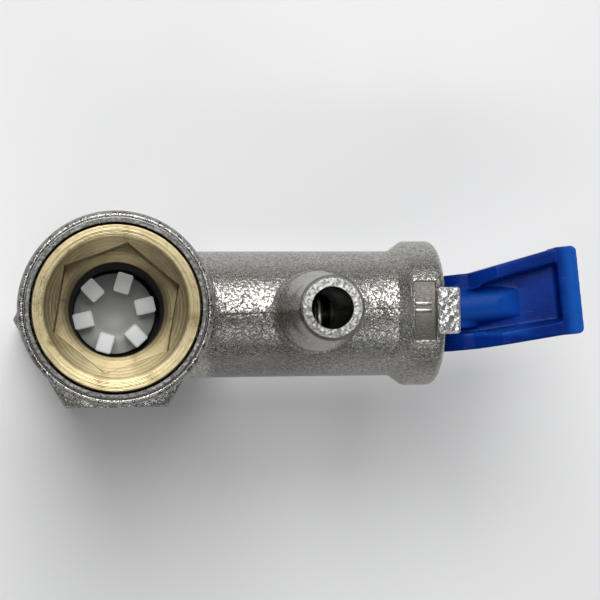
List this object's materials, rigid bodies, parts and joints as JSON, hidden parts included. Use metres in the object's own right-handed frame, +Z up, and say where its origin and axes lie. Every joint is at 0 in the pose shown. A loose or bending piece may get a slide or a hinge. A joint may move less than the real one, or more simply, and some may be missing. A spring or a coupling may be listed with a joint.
{
  "type": "safety valve",
  "caption": "Nickel-plated brass water heater safety valve, G1/2 male inlet and female outlet, with check valve, side relief barrel, drain spout and blue drain lever.",
  "frame": {"origin": "on the tube's axis, at the face of the hexagonal female outlet end, on which the part stands", "axes": "+Z up the tube towards the male inlet, +X along the relief barrel towards the drain lever"},
  "size_m": [0.0717, 0.024, 0.052],
  "materials": {
    "nickel_plated_casting": "nickel over a sand-cast surface",
    "turned_brass": "turned",
    "blue_plastic": "moulded",
    "white_plastic": "moulded, translucent",
    "black_rubber": "moulded",
    "spring_steel": "drawn wire"
  },
  "bodies": {
    "valve": {"valve_body": "nickel_plated_casting", "inlet_seat_insert": "turned_brass", "insert_gasket": "black_rubber", "relief_spring": "spring_steel", "check_spring": "spring_steel", "spring_washer": "spring_steel", "adjusting_nut": "turned_brass", "end_bush": "turned_brass", "stem_o_ring": "black_rubber"},
    "check": {"check_poppet": "white_plastic", "check_seal_ring": "black_rubber", "check_seal_keeper": "white_plastic"},
    "closure": {"relief_disc": "black_rubber", "disc_holder": "turned_brass", "disc_screw": "turned_brass", "relief_stem": "turned_brass"},
    "lever": {"drain_lever": "blue_plastic", "lever_pin": "spring_steel"}
  },
  "joints": [
    {"name": "check_lift", "type": "slide", "parent": "valve", "child": "check", "axis": [0, 0, -1], "range_m": [0, 0.0026], "stiffness_N_per_m": 100, "springref_m": -0.003, "deforming": ["check_spring"]},
    {"name": "stem_lift", "type": "slide", "parent": "valve", "child": "closure", "axis": [1, 0, 0], "range_m": [0, 0.002], "deforming": ["relief_spring"]},
    {"name": "lever_turn", "type": "hinge", "parent": "closure", "child": "lever", "pos_m": [0.04326, 0, 0.028], "axis": [-0.0872, 0.9962, 0], "range_deg": [0, 80]}
  ],
  "couplings": [
    {"joint": "lever_turn", "follows": "stem_lift", "rad_per_m": 698.13}
  ]
}
